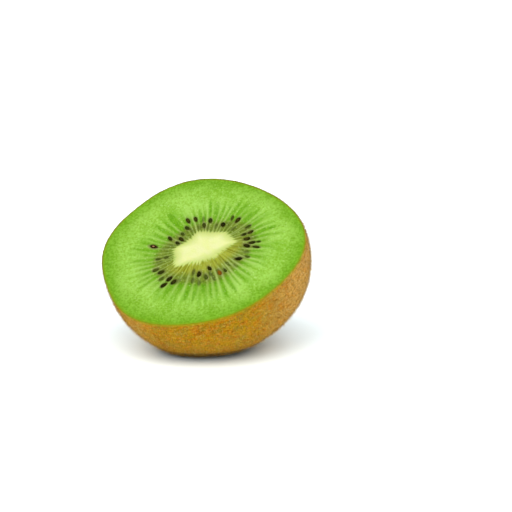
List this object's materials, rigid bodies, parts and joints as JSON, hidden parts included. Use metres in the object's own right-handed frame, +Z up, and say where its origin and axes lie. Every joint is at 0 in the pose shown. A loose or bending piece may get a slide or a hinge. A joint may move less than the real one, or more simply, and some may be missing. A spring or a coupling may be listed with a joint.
{
  "type": "kiwi fruit half",
  "caption": "Half of a kiwi fruit cut across, tipped back on its rounded end, with green flesh, pale core, dark seeds and fuzzy brown skin.",
  "frame": {"origin": "on the surface the half lies on, under the middle of its bounding box", "axes": "+Z up; the cut face is tipped about 39 degrees from level towards -Y, and its long way runs mostly along X"},
  "size_m": [0.0554, 0.0474, 0.0441],
  "materials": {
    "skin": "dry brown fruit skin, mottled with olive and rust",
    "flesh": "wet translucent green fruit flesh with pale rays",
    "core": "firm pale cream fruit core, moist",
    "seed": "smooth wet dark brown seed",
    "fuzz": "short dry brown hairs",
    "stub": "dry dark brown flower remains"
  },
  "bodies": {
    "root": {"kiwi_half": "skin"}
  },
  "joints": []
}
